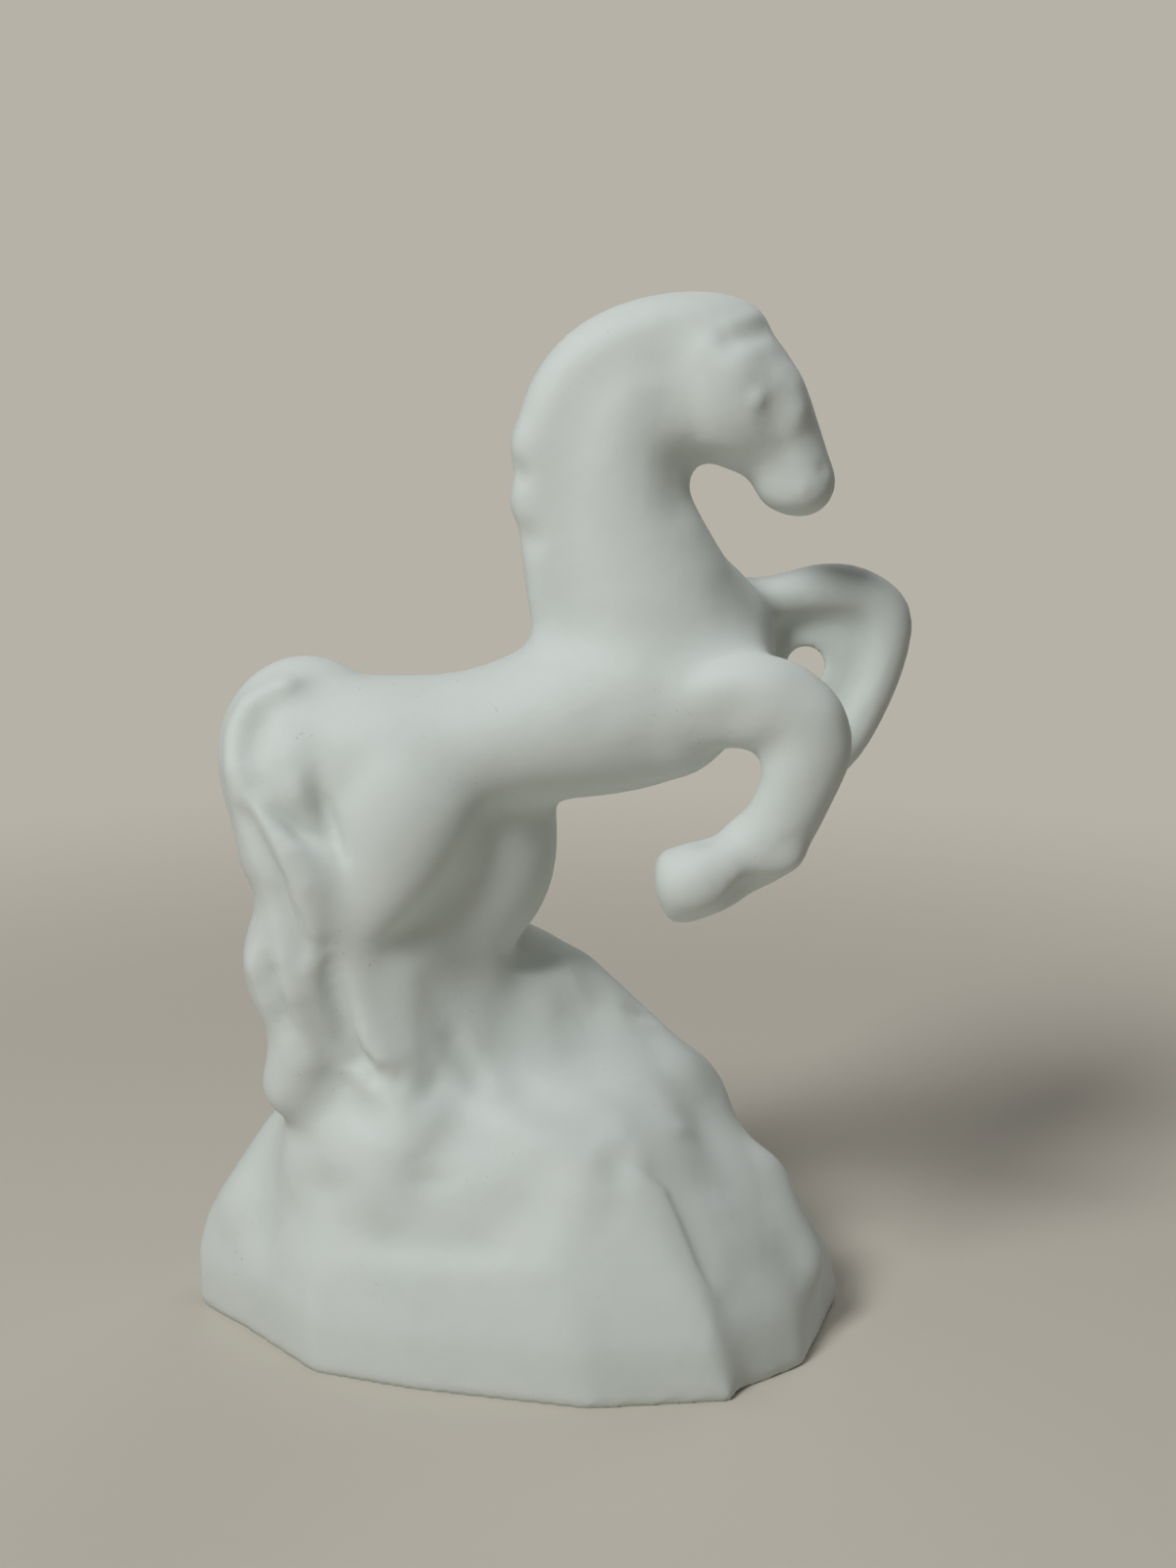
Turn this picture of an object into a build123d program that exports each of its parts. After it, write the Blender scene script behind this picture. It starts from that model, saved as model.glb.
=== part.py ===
from build123d import *
import os
from collections import namedtuple

# A horse rearing on a rock, a small ornament in unglazed white porcelain.
# It is made as a figurine maker makes it: each limb is cast by itself in a plaster mould,
# cut to a saddle that fits its neighbour, and luted on with slip before the firing.
# Millimetres. +X is the way the horse faces, +Y is its left side, +Z is up.

# Walls and air ways of the hollow castings
wall = 3.0
vent_bore = 2.5
vent_place = (11.0, 0.0)

# The rock: its foot on the table, the levels that it steps in to, and the hollow under it.
# The foot's corners are shares of half its length and half its width.
rock_length = 84.0
rock_width = 51.0
foot_corners = [
    (-0.988, 0.157), (-0.821, -0.137), (-0.583, -0.608), (-0.286, -0.784), (0.226, -0.980),
    # The step of the crisp ridge, which runs up the slope from here
    (0.640, -0.902), (0.664, -0.800),
    (0.869, -0.529), (1.012, 0.235), (0.905, 0.667), (0.595, 0.961), (0.143, 1.020),
    (-0.333, 0.941), (-0.714, 0.765), (-0.929, 0.471),
]
foot_outline = [(x * rock_length / 2, y * rock_width / 2) for x, y in foot_corners]
swell_height = 7.0
ledge_height = 14.0
shoulder_height = 26.0
brow_height = 31.0
plateau_height = 34.0
Level = namedtuple("Level", "height share x y")
rock_levels = [
    Level(height=0.0, share=1.0, x=0.0, y=0.0),
    Level(height=swell_height, share=0.99, x=-0.8, y=0.2),
    Level(height=ledge_height, share=0.92, x=-2.0, y=0.5),
    Level(height=shoulder_height, share=0.72, x=-2.5, y=1.5),
    Level(height=brow_height, share=0.60, x=-2.0, y=1.8),
    Level(height=plateau_height, share=0.46, x=-2.5, y=2.0),
]

# A station is one ellipse of a casting: its centre, its width across the horse and its depth
Station = namedtuple("Station", "x y z width depth")

# The crag behind the hooves, a steep horn of the same rock, set out from the middle of the plateau
plateau = Vector(0.0, 0.0, plateau_height)
crag_line = [
    Station(6.0, 8.0, -20.0, 22.0, 36.0),
    Station(3.5, 9.5, -3.0, 21.0, 37.0),
    Station(1.5, 11.5, 7.0, 13.0, 22.5),
    Station(0.5, 11.5, 12.5, 8.0, 12.0),
    Station(-0.5, 11.5, 15.5, 5.0, 6.0),
]
# Boulders in the slope: the centre and the three half sizes of each
boulders = [
    ((17.0, 10.0, 24.5), (11.5, 10.0, 10.5)),
    ((-4.0, -8.0, 21.0), (9.0, 7.0, 10.0)),
    ((12.0, -8.5, 17.5), (10.0, 8.0, 8.5)),
    ((27.0, -2.0, 11.0), (8.5, 10.0, 10.0)),
]

# The seats that the castings are set out from, and how far each is from the one before it
hip_height = 41.5
hip_setback = 14.0
girth_reach = 28.0
girth_rise = 6.0
breast_reach = 36.0
breast_rise = 9.0
poll_reach = 8.0
poll_rise = 40.0
right_hoof_setback = 15.5
right_hoof_offset = 6.5
left_hoof_setback = 10.0
left_hoof_offset = 1.0
tail_setback = 26.0
tail_drop = 3.0
loins = plateau + Vector(-hip_setback, 0, hip_height)
girth = loins + Vector(girth_reach, 0, girth_rise)
breast = loins + Vector(breast_reach, 0, breast_rise)
poll = girth + Vector(poll_reach, 0, poll_rise)
right_hind_hoof = plateau + Vector(-right_hoof_setback, -right_hoof_offset, 0)
left_hind_hoof = plateau + Vector(-left_hoof_setback, -left_hoof_offset, 0)
tail_tip = plateau + Vector(-tail_setback, 0, -tail_drop)

torso_line = [
    Station(-13.5, 0.0, -0.5, 9.0, 7.0),
    Station(-9.5, 0.0, 0.0, 18.0, 14.5),
    Station(0.0, 0.0, 0.0, 22.0, 17.5),
    Station(10.0, 0.0, 1.0, 21.0, 17.0),
    Station(20.0, 0.0, 3.5, 21.0, 20.0),
    Station(28.0, 0.0, 6.0, 21.5, 22.5),
    Station(36.0, 0.0, 9.0, 19.0, 20.0),
    Station(42.0, 0.0, 12.0, 14.0, 13.0),
    Station(45.0, 0.0, 13.5, 6.0, 5.0),
]
neck_line = [
    Station(6.0, 0.0, -0.5, 16.0, 22.0),
    Station(3.5, 0.0, 9.5, 16.5, 22.5),
    Station(0.8, 0.0, 17.5, 15.0, 19.5),
    Station(-1.0, 0.0, 24.5, 13.5, 17.0),
    Station(-0.8, 0.0, 31.0, 12.8, 16.0),
    Station(2.5, 0.0, 37.0, 12.0, 15.0),
    Station(8.0, 0.0, 40.0, 11.0, 13.0),
]
# The way between the hollows of the torso and the neck
hollow_throat = Station(4.5, 0.0, 4.0, 9.0, 12.0)

head_line = [
    Station(-1.0, 0.0, 2.5, 11.0, 10.0),
    Station(2.2, 0.0, -0.5, 13.0, 15.5),
    Station(5.3, 0.0, -4.5, 13.5, 16.0),
    Station(9.6, 0.0, -8.9, 9.8, 11.8),
    Station(11.8, 0.0, -12.2, 8.2, 9.4),
    Station(12.7, 0.0, -15.1, 8.8, 9.0),
    Station(13.0, 0.0, -17.1, 5.0, 5.5),
]
mane_line = [
    Station(8.0, 0.0, 2.6, 6.5, 4.5),
    Station(3.7, 0.0, 4.2, 9.0, 8.0),
    Station(-2.3, 0.0, 4.2, 10.0, 8.7),
    Station(-9.1, 0.0, 2.0, 10.0, 9.4),
    Station(-14.0, 0.0, -1.9, 9.6, 9.4),
    Station(-16.5, 0.0, -7.2, 9.2, 9.4),
    Station(-16.9, 0.0, -14.0, 8.8, 9.4),
    Station(-16.4, 0.0, -22.0, 8.2, 8.7),
    Station(-15.3, 0.0, -31.0, 6.0, 6.4),
]
right_foreleg_line = [
    Station(-8.0, -4.0, -5.5, 7.0, 8.0),
    Station(-1.0, -6.5, -3.0, 9.0, 11.0),
    Station(5.0, -8.3, -1.7, 9.0, 11.5),
    Station(10.0, -9.2, -2.0, 8.6, 10.8),
    Station(13.2, -9.3, -4.8, 8.5, 10.2),
    Station(12.6, -9.3, -10.8, 8.0, 9.6),
    Station(10.0, -9.0, -16.8, 7.8, 9.0),
    Station(6.2, -8.8, -21.0, 7.6, 8.8),
    Station(2.0, -8.6, -23.2, 7.8, 9.0),
    Station(-2.0, -8.5, -24.2, 8.6, 10.2),
    Station(-4.4, -8.5, -24.7, 7.0, 8.0),
]
left_foreleg_line = [
    Station(-7.0, 4.0, -0.5, 7.0, 8.0),
    Station(1.0, 6.8, 4.0, 8.0, 9.0),
    Station(7.5, 9.0, 7.2, 7.2, 7.4),
    Station(14.0, 10.0, 8.5, 6.5, 6.3),
    Station(20.8, 10.5, 8.7, 6.2, 6.2),
    Station(24.2, 10.5, 6.3, 6.2, 6.6),
    Station(24.6, 10.5, 0.5, 5.8, 5.8),
    Station(22.3, 10.3, -6.0, 5.6, 5.6),
    Station(19.0, 10.0, -11.5, 5.4, 5.6),
    Station(15.0, 9.8, -14.7, 5.6, 6.0),
    Station(12.0, 9.6, -15.7, 6.5, 7.0),
    Station(10.6, 9.6, -15.9, 5.5, 6.0),
]
# The web of porcelain left between the left foreleg's two halves, and the hole cut through it
web_outline = [
    (6.0, 8.0), (23.0, 8.0), (24.5, 1.0), (21.5, -7.5), (16.0, -13.5), (10.0, -9.0), (7.0, -2.0),
]
web_thickness = 2.2
web_offset = 10.3
web_hole = (14.8, -0.8)
web_hole_diameter = 4.6

right_thigh_line = [
    Station(1.0, -3.0, 3.0, 8.0, 9.0),
    Station(1.2, -6.0, -2.0, 12.5, 16.5),
    Station(1.0, -7.8, -8.0, 11.8, 17.0),
    Station(-0.6, -8.4, -13.0, 9.8, 13.5),
    Station(-2.8, -8.3, -17.5, 8.0, 10.5),
]
right_shank_line = [
    Station(-3.5, -1.5, 19.5, 6.2, 7.8),
    Station(-3.3, -1.0, 14.0, 6.2, 6.6),
    Station(-1.7, -0.5, 9.0, 6.2, 6.6),
    Station(-0.3, 0.0, 4.0, 7.0, 7.6),
    Station(0.3, 0.0, -5.0, 7.0, 7.6),
]
# The left hind leg is broad towards the middle, because the mould leaves the two thighs in one mass
left_thigh_line = [
    Station(3.0, 2.0, 3.0, 10.0, 9.0),
    Station(6.0, 4.0, -2.5, 16.0, 16.5),
    Station(9.2, 4.0, -8.0, 18.5, 18.2),
    Station(10.6, 4.2, -14.0, 18.0, 18.0),
    Station(7.5, 3.8, -21.0, 16.5, 17.0),
]
left_shank_line = [
    Station(-1.0, 3.5, 14.5, 14.0, 13.0),
    Station(-1.8, 1.5, 9.0, 12.0, 9.6),
    Station(-0.6, 0.5, 4.0, 11.5, 8.6),
    Station(0.2, 0.0, -5.0, 11.0, 8.8),
]
tail_dock_line = [
    Station(-3.0, 0.0, 3.5, 8.0, 8.0),
    Station(-8.0, 0.0, 7.0, 7.5, 7.5),
    Station(-13.5, 0.0, 7.0, 8.0, 7.5),
    Station(-16.8, -1.0, 2.5, 11.5, 8.8),
    Station(-14.9, -2.8, -4.5, 15.0, 11.8),
    Station(-11.6, -4.0, -12.0, 16.0, 14.8),
]
tail_lock_line = [
    Station(2.0, -4.2, 25.0, 15.5, 15.0),
    Station(0.4, -3.8, 18.0, 15.0, 15.0),
    Station(1.4, -3.2, 11.0, 13.5, 12.4),
    Station(1.5, -2.6, 5.0, 11.0, 10.4),
    Station(1.2, -2.0, -2.0, 8.0, 8.0),
]


def seated(seat, line):
    """The stations of a line, moved from its own seat to the figure."""
    return [s._replace(x=s.x + seat.X, y=s.y + seat.Y, z=s.z + seat.Z) for s in line]


def cast_form(line):
    """A closed form through the ellipses of a line, each square to the way the line runs."""
    centres = [Vector(s.x, s.y, s.z) for s in line]
    with BuildPart() as form:
        for index, station in enumerate(line):
            ahead = centres[min(index + 1, len(line) - 1)]
            behind = centres[max(index - 1, 0)]
            along = (ahead - behind).normalized()
            across = (Vector(0, 1, 0) - along * along.Y).normalized()
            with BuildSketch(Plane(origin=centres[index], x_dir=across, z_dir=along)):
                Ellipse(station.width / 2, station.depth / 2)
        loft()
    return form.part


def drained(line):
    """The line of the hollow that is left when the slip is drained, one wall inside the casting."""
    return [s._replace(width=s.width - 2 * wall, depth=s.depth - 2 * wall) for s in line]


def rock_form(levels, inset):
    """The stepped mound through the levels, drawn in by the inset at the narrowest part of its foot."""
    half_width = min(max(y for x, y in foot_outline), max(-y for x, y in foot_outline))
    with BuildPart() as form:
        for level in levels:
            share = level.share - inset / half_width
            with BuildSketch(Plane.XY.offset(level.height)):
                Polygon(*[(level.x + x * share, level.y + y * share) for x, y in foot_outline], align=None)
        loft(ruled=True)
    return form.part


def boulder_form(centre, half_sizes):
    """A rounded stone."""
    with BuildPart() as form:
        Sphere(1)
        scale(by=half_sizes)
    return form.part.moved(Location(centre))


def cut_to_seat(casting_form, *neighbours):
    """A casting pared to a saddle on its neighbours, without the crumbs that the cut leaves."""
    with BuildPart() as pared:
        add(casting_form)
        for neighbour in neighbours:
            add(neighbour, mode=Mode.SUBTRACT)
    return pared.part.solids().sort_by(SortBy.VOLUME)[-1]


# Outer forms that other castings are pared to
torso_form = cast_form(seated(loins, torso_line))
neck_form = cast_form(seated(girth, neck_line))
neck_hollow = cast_form(seated(girth, [hollow_throat] + drained(neck_line[1:-1])))

with BuildPart() as solid_rock:
    add(rock_form(rock_levels, 0))
    add(cast_form(seated(plateau, crag_line)))
    for centre, half_sizes in boulders:
        add(boulder_form(centre, half_sizes))

with BuildPart() as rock_base:
    add(solid_rock.part)
    add(rock_form(rock_levels[:-1], wall), mode=Mode.SUBTRACT)

with BuildPart() as torso:
    add(torso_form)
    add(cast_form(seated(loins, drained(torso_line[1:-1]))), mode=Mode.SUBTRACT)
    add(neck_hollow, mode=Mode.SUBTRACT)
    with BuildSketch(Plane.XY.offset(girth.Z)):
        with Locations(vent_place):
            Circle(vent_bore / 2)
    extrude(amount=-girth.Z, mode=Mode.SUBTRACT)

with BuildPart() as neck:
    add(cut_to_seat(neck_form, torso_form))
    add(neck_hollow, mode=Mode.SUBTRACT)

with BuildPart() as head:
    add(cut_to_seat(cast_form(seated(poll, head_line)), neck_form))

with BuildPart() as mane:
    add(cut_to_seat(cast_form(seated(poll, mane_line)), torso_form, neck_form, head.part))

with BuildPart() as right_foreleg:
    add(cut_to_seat(cast_form(seated(breast, right_foreleg_line)), torso_form, neck_form))

with BuildPart() as left_foreleg_form:
    add(cast_form(seated(breast, left_foreleg_line)))
    with BuildSketch(Plane.XZ.offset(-web_offset - web_thickness / 2)):
        with Locations((breast.X, breast.Z)):
            Polygon(*web_outline, align=None)
            with Locations(web_hole):
                Circle(web_hole_diameter / 2, mode=Mode.SUBTRACT)
    extrude(amount=web_thickness)

with BuildPart() as left_foreleg:
    add(cut_to_seat(left_foreleg_form.part, torso_form, neck_form))

with BuildPart() as right_hind_leg:
    right_hind_line = seated(loins, right_thigh_line) + seated(right_hind_hoof, right_shank_line)
    add(cut_to_seat(cast_form(right_hind_line), torso_form, solid_rock.part))

with BuildPart() as left_hind_leg:
    left_hind_line = seated(loins, left_thigh_line) + seated(left_hind_hoof, left_shank_line)
    add(cut_to_seat(cast_form(left_hind_line), torso_form, solid_rock.part, right_hind_leg.part))

with BuildPart() as tail:
    tail_line = seated(loins, tail_dock_line) + seated(tail_tip, tail_lock_line)
    neighbours = (torso_form, solid_rock.part, right_hind_leg.part, left_hind_leg.part)
    add(cut_to_seat(cast_form(tail_line), *neighbours))

castings = {
    "rock_base": rock_base,
    "torso": torso,
    "neck": neck,
    "head": head,
    "mane": mane,
    "right_foreleg": right_foreleg,
    "left_foreleg": left_foreleg,
    "right_hind_leg": right_hind_leg,
    "left_hind_leg": left_hind_leg,
    "tail": tail,
}
# The origin is on the table, under the middle of the whole figure
outer_box = Compound([casting.part for casting in castings.values()]).bounding_box()
to_origin = Location((-outer_box.center().X, -outer_box.center().Y, -outer_box.min.Z))

os.makedirs("parts", exist_ok=True)
for name, casting in castings.items():
    casting.part.move(to_origin)
    casting.part.label = name
    export_step(casting.part, f"parts/{name}.step")
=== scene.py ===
import math
from collections import namedtuple

import bmesh
import bpy
import numpy as np
from mathutils import Euler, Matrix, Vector
from mathutils.bvhtree import BVHTree


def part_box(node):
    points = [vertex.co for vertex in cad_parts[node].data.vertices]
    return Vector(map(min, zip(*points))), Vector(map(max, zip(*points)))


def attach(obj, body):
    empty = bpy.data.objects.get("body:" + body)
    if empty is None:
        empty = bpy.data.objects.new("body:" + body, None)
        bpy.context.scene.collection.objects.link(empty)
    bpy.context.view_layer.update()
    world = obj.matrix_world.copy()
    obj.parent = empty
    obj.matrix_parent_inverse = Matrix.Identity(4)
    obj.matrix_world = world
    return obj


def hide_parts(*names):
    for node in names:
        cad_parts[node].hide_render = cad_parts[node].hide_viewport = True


# A horse rearing on a rock, a small ornament in bisque porcelain.
# The castings are luted together in soft clay, the joints are wiped smooth, the muscles, tail locks and
# rock are carved, and the figure is then parted again into one closed mesh for each casting.

bl_info = {
    "name": "Bisque horse figurine",
    "version": (1, 0, 0),
    "blender": (4, 5, 0),
    "location": "View3D > Sidebar > Figurine",
    "description": "Models a rearing horse in bisque porcelain round its castings",
    "category": "Add Mesh",
}

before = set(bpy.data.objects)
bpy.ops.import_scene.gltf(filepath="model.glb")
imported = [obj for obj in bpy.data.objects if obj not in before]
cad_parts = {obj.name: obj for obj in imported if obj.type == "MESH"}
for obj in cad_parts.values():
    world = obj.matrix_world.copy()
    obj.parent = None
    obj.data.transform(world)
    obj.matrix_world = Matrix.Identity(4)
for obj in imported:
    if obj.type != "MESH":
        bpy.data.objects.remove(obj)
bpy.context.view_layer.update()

MM = 0.001
CASTINGS = ("rock_base", "torso", "neck", "head", "mane", "right_foreleg", "left_foreleg",
            "right_hind_leg", "left_hind_leg", "tail")
# The horse's middle plane, across which the head and neck are alike
MIDDLE_Y = sum(corner[1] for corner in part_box("head")) / 2

# The place of the camera in millimetres, its tilt below the level, its lens in pixels of the image, and
# the longer side of its sensor in millimetres
PHOTO_WIDTH, PHOTO_HEIGHT = 1200, 1600
CAMERA_PLACE = Vector((5.3, -281.5, 135.7))
CAMERA_TILT = math.radians(13.0)
CAMERA_LENS_PIXELS = 2400.0
CAMERA_TURN = Euler((math.pi / 2 - CAMERA_TILT, 0.0, 0.0))
SENSOR_WIDTH = 36.0

# The floor, and where it starts and ends its fade to one even tone, in metres
FLOOR_SIZE = 8.0
FADE_NEAR = 0.12
FADE_FAR = 0.32

# A square soft lamp: its place and the length of its side in metres, and its power in watts
Lamp = namedtuple("Lamp", "name place size power")
LAMPS = [
    Lamp("key", (-0.36, -0.48, 0.66), 0.24, 4.5),
    Lamp("ceiling", (0.06, -0.02, 0.90), 0.80, 0.8),
    Lamp("window", (0.34, 0.56, 0.55), 0.60, 1.2),
]
# The point that the lamps look at, in metres, and the strength of the light from all round
LAMP_AIM = Vector((0.0, 0.0, 0.06))
FILL_STRENGTH = 0.025

# A lump of clay: its centre and half sizes in millimetres, and its turn about Y in degrees
Lump = namedtuple("Lump", "place half turn", defaults=(0.0,))
# A stroke of the modelling tool: its route over the image in pixels, the tool's half width and how far
# it raises the clay, in millimetres. A paired stroke is made on the other side of the horse too. A stroke
# with an edge works only to the left of its route, and most along it.
Stroke = namedtuple("Stroke", "route width height paired edge", defaults=(False, False))
# A stroke on the side that the image doesn't show: its route is X and Z in millimetres, seen from behind
BackStroke = namedtuple("BackStroke", "route width height paired edge", defaults=(False, False))

# A roll of clay: its route over the image in pixels, with the depth Y and the radius at each point in
# millimetres
Roll = namedtuple("Roll", "route depth radius")
# A place that the sponge rounds: its pixel, its depth Y and its radius in millimetres, and the passes
Sponge = namedtuple("Sponge", "pixel depth radius passes")

# The length over which a stroke starts and ends, in millimetres
FADE_LENGTH = 4.5
# The steps at which a stroke feels for the clay: in pixels on the image, in millimetres behind
PIXEL_STEP = 6.0
BACK_STEP = 1.0
# The width over which a stroke with an edge comes to its full height, in millimetres
EDGE_SOFTNESS = 0.6
# How much the rock is softened at some heights in millimetres, and the passes of it
ROCK_HEIGHTS = [1.0, 3.0, 11.0, 15.0]
ROCK_SOFTNESS = [0.0, 0.1, 0.15, 1.0]
ROCK_PASSES = 100
# The passes that fill the joints, the height from which they are filled, and how far above it the
# filling comes to its full share, in millimetres
JOINT_PASSES = 120
JOINT_LOW = 14.0
JOINT_RISE = 6.0
# How far past the box of a casting the clay may still belong to it, in millimetres
CASTING_REACH = 4.0
# The height below which the underside is rubbed flat, in millimetres
FOOT_BAND = 0.8
# The depth at which a hollow counts as a full groove and takes the full painted shade, in millimetres
GROOVE_DEPTH = 0.22

FILLING = [
    # Plug of the vent, which is bored again after the clay is smooth
    Lump((6.9, -0.5, 72.0), (3.5, 3.0, 2.5)),
    # Haunch and shoulder on both sides
    Lump((-17.0, -5.0, 69.0), (10.0, 7.0, 12.0)),
    Lump((-15.0, 4.5, 69.0), (10.0, 7.0, 12.0)),
    Lump((14.0, -4.0, 82.0), (9.5, 7.0, 10.0), -20.0),
    Lump((14.0, 3.5, 82.0), (9.5, 7.0, 10.0), -20.0),
]
ROLLS = [
    # Buttock, and the clay between it, the tail and the near leg
    Roll([(288, 735), (290, 785), (306, 832)], [-4.0, -5.0, -5.5], [4.2, 4.8, 4.4]),
    Roll([(316, 750), (320, 800), (330, 845), (336, 890)], [-5.0, -6.6, -7.0, -6.5],
         [4.2, 4.4, 4.4, 4.4]),
    # The long lock from the dock to the hock
    Roll([(292, 704), (258, 722), (245, 750), (245, 785), (256, 815), (278, 842), (300, 868), (315, 900),
          (322, 945)],
         [-4.7, -5.1, -6.1, -8.0, -8.6, -9.5, -9.9, -10.4, -10.6],
         [2.0, 2.1, 2.1, 2.2, 2.6, 3.2, 3.8, 3.6, 2.6]),
    # Hock and lower end of the tail, filled up to the leg
    Roll([(330, 880), (336, 930), (334, 985), (340, 1030), (350, 1066)], [-7.0, -7.2, -7.0, -6.4, -5.5],
         [4.4, 4.4, 4.2, 4.0, 3.4]),
    Roll([(300, 900), (305, 960), (308, 1020), (315, 1075)], [-5.5, -6.0, -5.5, -5.0],
         [5.0, 5.0, 4.8, 4.6]),
    # Near cannon, and the clay between the two hind legs
    Roll([(362, 930), (364, 965), (372, 1020), (381, 1060), (390, 1086)], [-6.0, -7.2, -7.6, -8.2, -8.6],
         [4.2, 4.0, 3.6, 3.4, 3.7]),
    Roll([(440, 890), (426, 945), (412, 990)], [-0.5, -1.5, -3.0], [6.5, 6.0, 5.0]),
    Roll([(397, 960), (404, 1000), (408, 1040), (412, 1088)], [-5.0, -6.0, -6.2, -6.8],
         [4.0, 4.0, 4.0, 4.2]),
    Roll([(440, 990), (444, 1020), (450, 1055), (458, 1095)], [-1.0, -2.6, -3.2, -4.5],
         [4.2, 4.2, 4.2, 4.2]),
    # Front of the far thigh
    Roll([(520, 812), (525, 848), (514, 900)], [3.5, 3.5, 3.5], [5.6, 5.6, 5.6]),
    # Hollow between the far hind leg and the crag
    Roll([(478, 975), (484, 1030), (496, 1085)], [3.0, 2.0, 0.0], [5.5, 5.0, 4.0]),
    Roll([(500, 1020), (490, 1060), (490, 1095)], [3.2, 1.8, -0.6], [5.0, 5.5, 5.5]),
    Roll([(472, 1000), (474, 1040), (478, 1080)], [1.0, -0.5, -2.5], [4.5, 4.5, 4.5]),
    Roll([(545, 1025), (540, 1065), (540, 1098)], [5.0, 3.0, -0.5], [5.0, 5.0, 5.0]),
    # Right flank of the rock
    Roll([(770, 1205), (781, 1250), (795, 1290)], [0.5, -2.0, -4.0], [5.0, 5.5, 6.0]),
    # Rock round the near hoof, and the tip of the tail
    Roll([(330, 1178), (370, 1170), (420, 1167), (470, 1172)], [-2.0, -6.8, -8.6, -7.2],
         [6.0, 6.5, 6.5, 6.5]),
    Roll([(345, 1212), (385, 1210), (430, 1208), (480, 1210)], [-5.0, -8.0, -9.6, -9.2],
         [6.0, 6.5, 6.5, 6.0]),
    Roll([(338, 1138), (362, 1132)], [-5.5, -6.5], [4.0, 4.0]),
    Roll([(318, 1040), (312, 1080), (300, 1106)], [-5.5, -5.5, -5.5], [5.0, 5.0, 4.4]),
    # Breast
    Roll([(727, 603), (748, 630), (757, 658)], [2.0, 2.5, 3.0], [4.3, 4.5, 4.5]),
    # Fore hoof
    Roll([(738, 884), (712, 896), (703, 900)], [-10.5, -10.5, -10.5], [3.8, 4.7, 4.6]),
    # Round muzzle
    Roll([(804, 490), (817, 492)], [-0.5, -0.5], [4.3, 4.5]),
]

HEAD_STROKES = [
    # Jowl and the soft groove behind it
    Stroke([(722, 410)], 9.0, 0.4, True),
    Stroke([(690, 345), (681, 375), (680, 400), (674, 445)], 5.0, -0.4, True),
    # Throat, hollowed under the jaw, and the lower edge of the jaw
    Stroke([(690, 480), (690, 512)], 5.0, -0.4, True),
    Stroke([(702, 464), (735, 467), (760, 474)], 3.0, -0.4, True),
    # Flat side of the face up to its front edge
    Stroke([(792, 362), (808, 395), (818, 430), (826, 450)], 5.0, 0.9, True),
    # Waist above the muzzle
    Stroke([(776, 460), (798, 450), (818, 440)], 4.0, -0.5, True),
    # Brow, eye and the hollow before the eye
    Stroke([(757, 372)], 4.0, 0.5, True),
    Stroke([(774, 407)], 1.7, 0.45, True),
    Stroke([(796, 413), (792, 424)], 3.2, -0.45, True),
    # Forelock, a lip across the brow
    Stroke([(750, 335), (772, 327)], 2.2, 0.3, True),
    Stroke([(748, 346), (764, 340), (776, 336)], 2.4, -0.55, True),
    # Nostril
    Stroke([(840, 478)], 1.4, -0.25, True),
    # Locks at the back of the mane
    Stroke([(529, 452)], 4.0, 0.6, True),
    Stroke([(529, 515)], 4.0, 0.6, True),
    Stroke([(532, 484)], 2.6, -0.4, True),
    Stroke([(540, 550)], 3.2, -0.5, True),
]
TRUNK_STROKES = [
    # Side of the breast, turned away
    Stroke([(726, 570), (742, 600), (758, 635)], 5.0, -0.3),
    # Crease from the shoulder to the barrel
    Stroke([(577, 623), (624, 708), (636, 755)], 6.0, -0.35),
    # Forearm, the shade under it and the knee
    Stroke([(700, 700), (760, 690), (820, 705)], 5.0, 0.4),
    Stroke([(680, 742), (715, 742), (745, 742), (775, 750)], 6.0, -0.6),
    Stroke([(850, 722)], 4.0, 0.3),
    # Fetlock and the notches of the pastern
    Stroke([(722, 858)], 2.6, -0.5),
    Stroke([(766, 911)], 4.5, -1.1),
    Stroke([(746, 842)], 3.0, 0.4),
    Stroke([(810, 878)], 3.5, 0.8),
]
HAUNCH_STROKES = [
    # Root of the tail round the buttock, and the crisp groove between buttock and thigh
    Stroke([(313, 710), (279, 722), (264, 744), (261, 773), (266, 798), (283, 824), (308, 846), (332, 861),
            (346, 876)], 2.8, -0.45),
    Stroke([(319, 770), (323, 807), (332, 832), (341, 854), (347, 872)], 2.4, -0.8),
    Stroke([(292, 778), (300, 800)], 5.5, 1.0),
    Stroke([(270, 803), (288, 828), (310, 847), (334, 862)], 2.4, -0.7),
    Stroke([(321, 795), (328, 822), (338, 848), (347, 872), (350, 895)], 1.6, -0.7),
    Stroke([(283, 826), (308, 848), (332, 863), (346, 876)], 1.6, -0.6),
    # Locks of the tail
    Stroke([(236, 807), (247, 832), (266, 868), (281, 898), (289, 925), (299, 952), (310, 974),
            (330, 984)], 2.6, -1.1),
    Stroke([(273, 964), (270, 983), (275, 1010), (286, 1040), (301, 1069)], 2.4, -1.3),
    Stroke([(256, 985)], 3.5, 0.5),
    Stroke([(290, 990), (305, 1040)], 3.5, 0.4),
    # Grooves between tail, hind legs and rock
    Stroke([(334, 970), (340, 1003), (349, 1032), (354, 1057), (362, 1081), (376, 1098), (401, 1103)],
           2.6, -1.1),
    Stroke([(354, 1056), (364, 1084), (378, 1099), (402, 1103), (422, 1092)], 2.4, -0.8),
    Stroke([(455, 1035), (465, 1070), (480, 1095), (500, 1130)], 3.0, -0.5),
    Stroke([(310, 1108), (330, 1098), (350, 1086)], 2.0, -0.25),
]
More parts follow.
